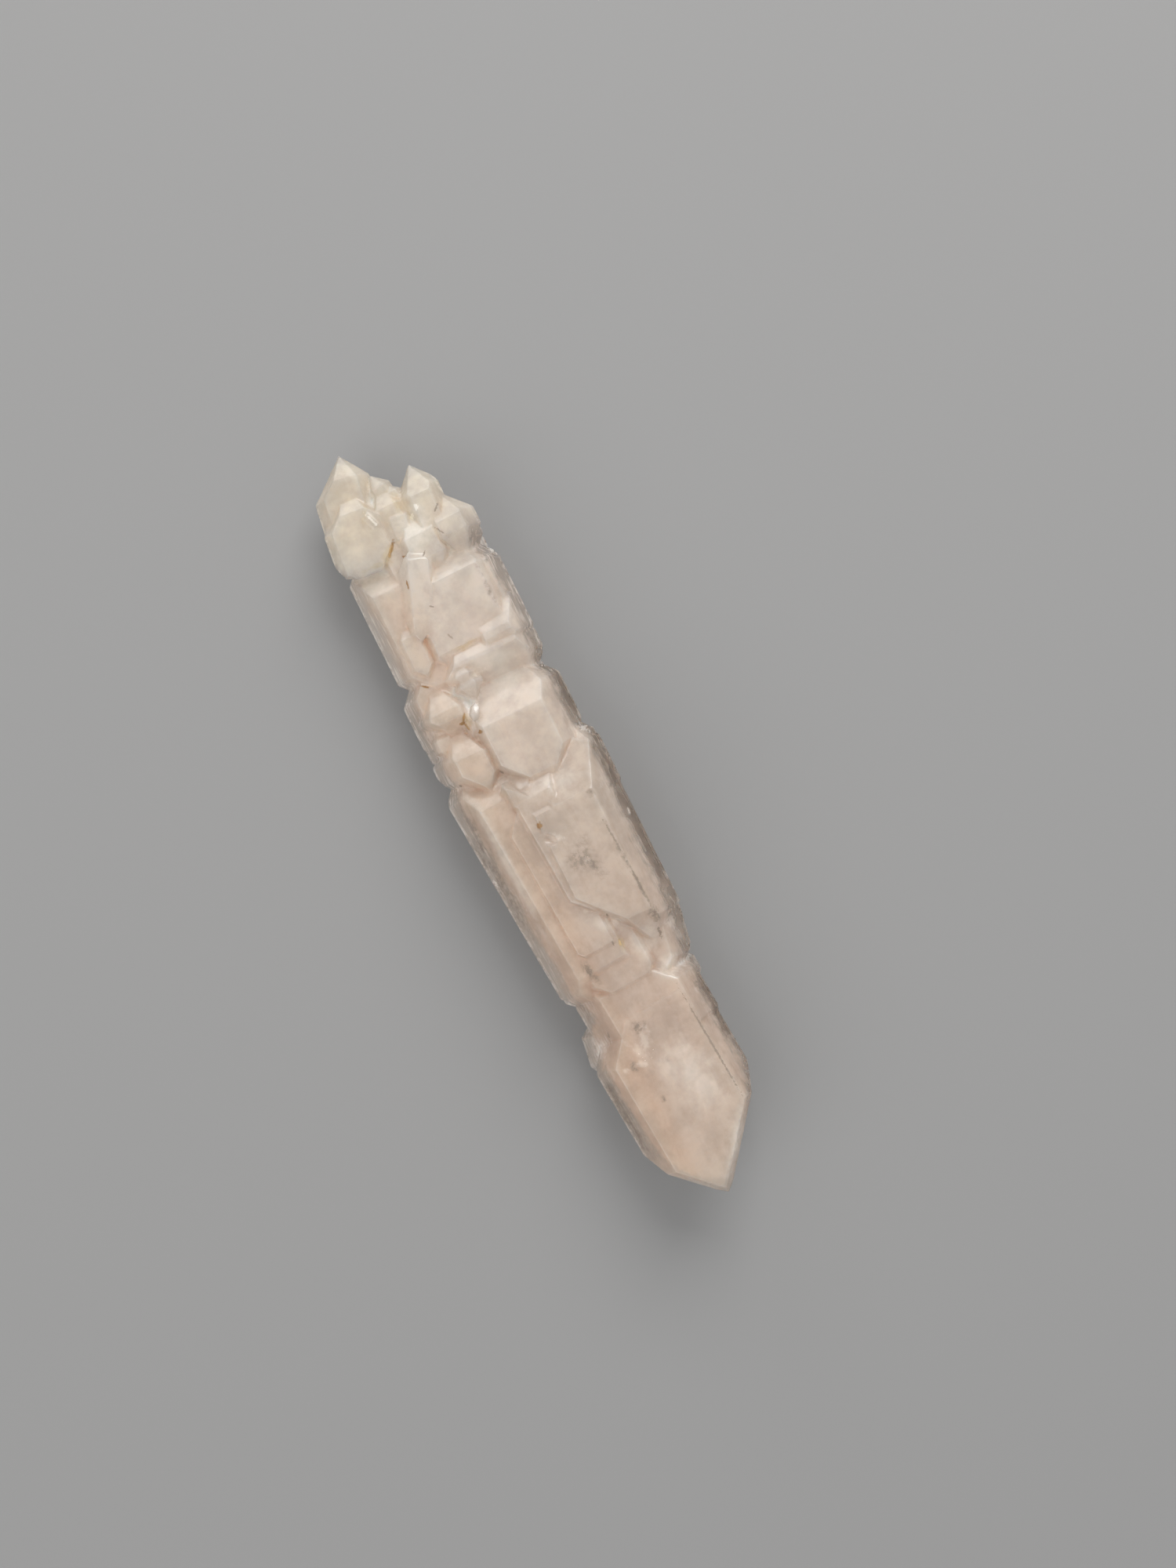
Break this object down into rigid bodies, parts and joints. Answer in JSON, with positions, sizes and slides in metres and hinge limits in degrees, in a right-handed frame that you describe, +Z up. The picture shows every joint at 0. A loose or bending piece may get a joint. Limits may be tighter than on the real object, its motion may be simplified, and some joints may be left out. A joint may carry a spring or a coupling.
{
  "type": "double-terminated quartz crystal",
  "caption": "Milky quartz specimen lying on its prism faces: parallel crystals grown together, one large point at one end and a crowd of small points at the other.",
  "frame": {"origin": "middle of the footprint's box, on the plane that the crystal lies on", "axes": "+X along the c-axis towards the single large point, +Y across the crystal, +Z up from the faces it lies on"},
  "size_m": [0.0902, 0.0182, 0.0124],
  "materials": {
    "milky_quartz": "natural glossy crystal faces, clear at the margins, milky and faintly pink inside"
  },
  "bodies": {
    "root": {"quartz_crystal": "milky_quartz"}
  },
  "joints": []
}
